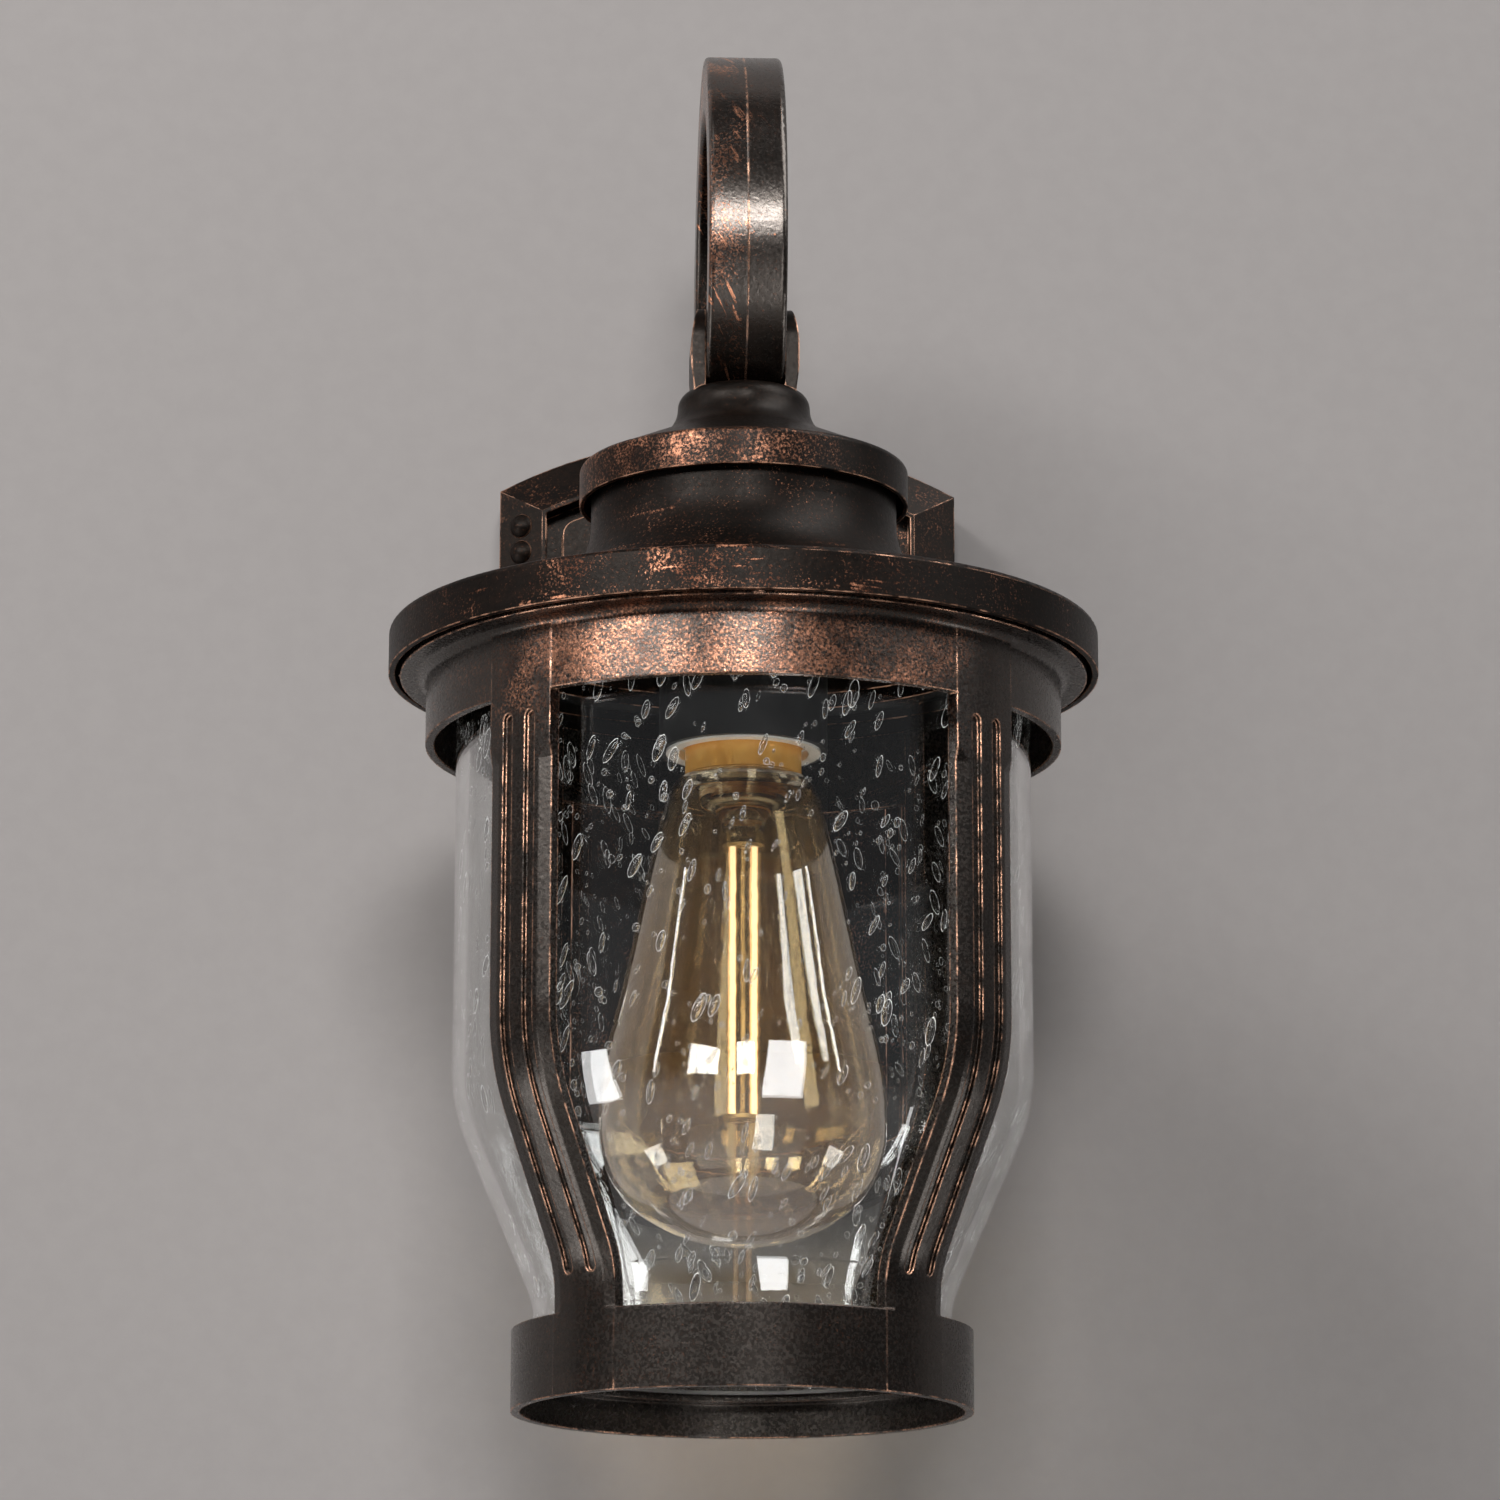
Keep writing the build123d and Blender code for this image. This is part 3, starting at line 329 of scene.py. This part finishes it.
looks = {
    "cage": bronze_cage, "join_screws": bronze_cap, "cap_body": bronze_cap,
    "upper_cap": bronze_top, "clevis_pin": bronze_top, "arm_left": bronze_arm,
    "arm_right": bronze_arm, "backplate": bronze_plate, "plate_rivets": bronze_plate,
    "side_screws": bronze_plate, "arm_screws": steel, "nipple": steel,
    "hex_nuts": steel, "socket_screws": steel,
    "wall_gasket": plain("foam_rubber", srgb(40, 40, 40), 0.0, 0.7, 0.9, 900.0, 0.5),
    "glass_top_gasket": plain("black_rubber", srgb(34, 34, 34), 0.0, 0.6, 0.8),
    "glass_seat": plain("dark_silicone", srgb(52, 50, 48), 0.0, 0.4, 0.6),
    "ground_screw": plain("green_screw", srgb(52, 132, 78), 0.6, 0.3, 0.45),
    # Dark strap inside the plate's recess: painted shade
    "wall_strap": plain("strap_painted_shade", srgb(26, 24, 23), 0.0, 0.35, 0.5),
    "socket_cup": plain("socket_black", srgb(30, 29, 28), 0.0, 0.35, 0.5),
    "porcelain": plain("porcelain", srgb(252, 250, 244), 0.0, 0.12, 0.2, bump=0.02,
                       second=srgb(246, 243, 235)),
    "screw_shell": brass, "centre_contact": brass, "bulb_base": brass,
    "lead_live": plain("lead_black", srgb(36, 36, 36), 0.0, 0.4, 0.5),
    "lead_neutral": plain("lead_white", srgb(226, 224, 218), 0.0, 0.4, 0.5),
    "base_insulator": plain("black_glass", srgb(24, 22, 30), 0.0, 0.08, 0.16, bump=0.02),
    "base_tip": plain("solder", srgb(168, 168, 166), 1.0, 0.3, 0.5),
    "bulb_mount": plain("support_wire", srgb(214, 196, 160), 1.0, 0.2, 0.32),
    # The strands glow with painted light; no light is lit in the bulb
    "bulb_strands": strand_painted_glow("strand", srgb(255, 246, 214), srgb(206, 140, 62), 1.3),
    "glass_shade": clear("thick_glass", (0.975, 0.985, 0.98), 0.84, coat=0.6, coat_ior=1.8),
    # The amber veil thickens toward the bulb's outline as a painted reflection
    "bulb_glass": clear("amber_glass", (0.94, 0.84, 0.64), 0.92, coat=1.0, coat_ior=1.65,
                        veil=srgb(196, 146, 78), veil_face=0.03, painted_rim_sheen=0.08, rim=(0.72, 1.0)),
    "bulb_stem": clear("stem_glass", (0.98, 0.96, 0.92), 1.0),
}
for node, material in looks.items():
    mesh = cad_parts[node].data
    mesh.materials.clear()
    mesh.materials.append(material)


# ------------------------------------------------------------------ seeds in the glass
# Outer face of the shade's wall, in mm, with heights above the foot ring's underside.
TOP_RADIUS = 64.6
FOOT_RADIUS = 46.0
WALL_LEAN = 23.0
SHOULDER_RADIUS = 42.0
HEEL_RADIUS = 20.0
HEEL_HEIGHT = 19.5

SEED_COUNT = 2100
SEED_DRAW = 7                # start of the random draws
SEEDS_LOW = 12.0             # heights between which there are seeds, in mm
SEEDS_HIGH = 160.0
SEED_SHORT = 0.45            # half length of the smallest seed, in mm
SEED_GROWTH = 3.0            # what the longest has more than that
SEED_RARITY = 3.0            # higher leaves fewer long seeds
SEED_LONG = 1.2              # half length from which a seed is drawn out
DRAWN_WIDTH = (0.24, 0.40)   # width as a share of the length
ROUND_WIDTH = (0.5, 0.9)
SEED_FLATNESS = 0.8          # thickness as a share of the width
SEED_ROOM = 0.75             # largest half thickness that the wall has room for, in mm
SEED_DEPTH = (1.15, 1.85)    # below the wall's outer face, in mm
SEED_TILT = (18, 9)          # middle and spread, in degrees


def shade_wall():
    """Runs of the shade's outer wall from the foot up: length, and a function of distance."""
    lean = radians(WALL_LEAN)
    across = TOP_RADIUS - FOOT_RADIUS - (SHOULDER_RADIUS + HEEL_RADIUS) * (1 - cos(lean))
    slope = across / sin(lean)
    heel_end = (FOOT_RADIUS + HEEL_RADIUS * (1 - cos(lean)),
                HEEL_HEIGHT + HEEL_RADIUS * sin(lean))
    slope_end = (heel_end[0] + across, heel_end[1] + slope * cos(lean))
    bend_top = slope_end[1] + SHOULDER_RADIUS * sin(lean)

    def heel(s):
        a = s / HEEL_RADIUS
        return FOOT_RADIUS + HEEL_RADIUS * (1 - cos(a)), HEEL_HEIGHT + HEEL_RADIUS * sin(a), a

    def shoulder(s):
        a = lean - s / SHOULDER_RADIUS
        return (TOP_RADIUS - SHOULDER_RADIUS * (1 - cos(a)),
                bend_top - SHOULDER_RADIUS * sin(a), a)

    return [
        (HEEL_HEIGHT - SEEDS_LOW, lambda s: (FOOT_RADIUS, SEEDS_LOW + s, 0.0)),
        (HEEL_RADIUS * lean, heel),
        (slope, lambda s: (heel_end[0] + s * sin(lean), heel_end[1] + s * cos(lean), lean)),
        (SHOULDER_RADIUS * lean, shoulder),
        (SEEDS_HIGH - bend_top, lambda s: (TOP_RADIUS, bend_top + s, 0.0)),
    ]


def glass_seeds(count, rng):
    """Drawn-out air bubbles inside the wall of the shade, all leaning the same way."""
    runs = shade_wall()
    total = sum(length for length, _ in runs)
    ball = bmesh.new()
    bmesh.ops.create_icosphere(ball, subdivisions=2, radius=1.0)
    points = [v.co.copy() for v in ball.verts]
    faces = [[v.index for v in f.verts] for f in ball.faces]
    ball.free()
    verts, polys = [], []
    for _ in range(count):
        distance = rng.random() * total
        for length, place in runs:
            if distance <= length:
                break
            distance -= length
        radius, height, lean = place(distance)
        angle = rng.random() * 2 * pi
        size = rng.random() ** SEED_RARITY
        long = (SEED_SHORT + SEED_GROWTH * size) * MM
        wide = long * rng.uniform(*(DRAWN_WIDTH if long > SEED_LONG * MM else ROUND_WIDTH))
        deep = min(wide * SEED_FLATNESS, SEED_ROOM * MM)
        depth = rng.uniform(*SEED_DEPTH)
        tilt = radians(rng.gauss(*SEED_TILT))
        normal = Vector((cos(lean), 0, -sin(lean)))
        up = Vector((sin(lean), 0, cos(lean)))
        side = Vector((0, 1, 0))
        along = up * cos(tilt) + side * sin(tilt)
        across = side * cos(tilt) - up * sin(tilt)
        centre = Vector((radius * MM, 0, height * MM)) - normal * depth * MM
        spin = Matrix.Rotation(angle, 3, "Z")
        start = len(verts)
        for p in points:
            v = centre + normal * p.x * deep + across * p.y * wide + along * p.z * long
            v = spin @ v
            verts.append((v.x, v.y + AXIS_Y, v.z + FOOT_Z))
        polys += [[start + i for i in f] for f in faces]
    mesh = bpy.data.meshes.new("glass_seeds")
    mesh.from_pydata(verts, [], polys)
    mesh.shade_smooth()
    seeds = bpy.data.objects.new("glass_seeds", mesh)
    bpy.context.scene.collection.objects.link(seeds)
    return seeds


seeds = glass_seeds(SEED_COUNT, random.Random(SEED_DRAW))
seeds.data.materials.append(seed("air_seed"))
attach(seeds, "fixture")


# ------------------------------------------------------------------ stage, light, camera
WALL_COLOR = srgb(158, 153, 151)
FLOOR_COLOR = srgb(196, 194, 192)
WALL_SIZE = 8.0
FLOOR_SIZE = 12.0
WALL_GAP = 0.0005            # wall plane behind the plate's back
FLOOR_PLACE = (0, -2.0, -1.4)
SKY_COLOR = (0.86, 0.87, 0.9, 1)
SKY_STRENGTH = 0.09


def stage_plane(name, size, matrix, color):
    """Plain surface that shows only from its front, so a view from behind looks through it."""
    n = Nodes(name)
    cloud = n.noise(n.add("TexCoord").outputs["Object"], 160.0, 5.0, 0.6)
    shader = n.shader("BsdfPrincipled", {
        "Base Color": n.mix(n.ramp(cloud, 0.3, 0.7), color, tuple(c * 0.965 for c in color)),
        "Roughness": 0.9, "Specular IOR Level": 0.15})
    behind = n.add("NewGeometry").outputs["Backfacing"]
    surface = n.blend(behind, shader, n.shader("BsdfTransparent"))
    half = size / 2
    mesh = bpy.data.meshes.new(name)
    mesh.from_pydata([(-half, -half, 0), (half, -half, 0), (half, half, 0), (-half, half, 0)],
                     [], [(0, 1, 2, 3)])
    mesh.materials.append(n.finish(surface))
    plane = bpy.data.objects.new(name, mesh)
    plane.matrix_world = matrix
    bpy.context.scene.collection.objects.link(plane)
    plane.visible_shadow = False
    plane.visible_diffuse = False


stage_plane("wall", WALL_SIZE,
            Matrix.Translation((0, WALL_GAP, 0)) @ Matrix.Rotation(radians(90), 4, "X"),
            WALL_COLOR)
stage_plane("floor", FLOOR_SIZE, Matrix.Translation(FLOOR_PLACE), FLOOR_COLOR)


def area(name, place, width, height, power, matt=True, gloss=True):
    """Rectangular softbox that faces the lantern and lights matt colour, gloss or both."""
    data = bpy.data.lights.new(name, "AREA")
    data.shape = "RECTANGLE"
    data.size, data.size_y = width, height
    data.energy = power
    light = bpy.data.objects.new(name, data)
    light.visible_diffuse = matt
    light.visible_glossy = light.visible_transmission = gloss
    light.location = place
    aim = Vector(MIDDLE) - Vector(place)
    light.rotation_euler = aim.to_track_quat("-Z", "Y").to_euler()
    bpy.context.scene.collection.objects.link(light)


area("soft left", (-1.75, -1.45, 1.75), 1.8, 1.2, 84, gloss=False)
area("key", (-1.16, -1.56, 0.72), 1.1, 0.34, 27, matt=False)
area("front", (0.0, -2.4, 0.95), 0.6, 0.5, 33)
area("top", (-0.8, -1.2, 2.3), 1.0, 0.8, 4)
area("right", (1.285, -0.915, 1.5), 1.2, 1.9, 44, matt=False)
area("far left", (-2.1, -0.5, 1.3), 0.10, 1.3, 6, matt=False)
area("far right", (2.1, -0.35, 1.3), 0.12, 1.3, 4, matt=False)
area("low left", (-2.0, -1.1, -0.66), 0.55, 1.0, 9, matt=False)
area("low far left", (-2.1, -0.3, -1.15), 0.8, 0.8, 10, matt=False)
area("low far right", (2.1, -0.3, -1.15), 0.8, 0.8, 8, matt=False)
area("low front", (0.55, -2.2, -0.95), 0.62, 1.7, 17, matt=False)
area("back right", (1.5, 1.7, 1.3), 1.6, 1.2, 10)
area("back left", (-1.7, 1.5, 0.9), 1.2, 1.2, 8)

world = bpy.data.worlds.new("world")
world.use_nodes = True
sky = world.node_tree.nodes["Background"]
sky.inputs["Color"].default_value = SKY_COLOR
sky.inputs["Strength"].default_value = SKY_STRENGTH
bpy.context.scene.world = world

CAMERA_LENS = 135.0
CAMERA_SENSOR = 36.0
CAMERA_SIDE = 2.35           # degrees to the left of straight in front of the lantern's axis
CAMERA_PITCH = 13.342        # degrees up
CAMERA_ROLL = 0.076
CAMERA_YAW = 0.07            # degrees past the lantern's axis
CAMERA_DISTANCE = 1.232
CAMERA_DROP = 0.1429         # below the foot ring
side = radians(CAMERA_SIDE)
heading = radians(CAMERA_SIDE + CAMERA_YAW)
pitch = radians(CAMERA_PITCH)
data = bpy.data.cameras.new("camera")
data.lens = CAMERA_LENS
data.sensor_width = CAMERA_SENSOR
camera = bpy.data.objects.new("camera", data)
look = Vector((sin(heading) * cos(pitch), cos(heading) * cos(pitch), sin(pitch)))
turn = look.to_track_quat("-Z", "Y").to_matrix().to_4x4()
camera.matrix_world = (Matrix.Translation((-CAMERA_DISTANCE * sin(side),
                                           AXIS_Y - CAMERA_DISTANCE * cos(side),
                                           FOOT_Z - CAMERA_DROP))
                       @ turn @ Matrix.Rotation(radians(CAMERA_ROLL), 4, "Z"))
bpy.context.scene.collection.objects.link(camera)
bpy.context.scene.camera = camera
bpy.context.scene.view_settings.view_transform = "Standard"
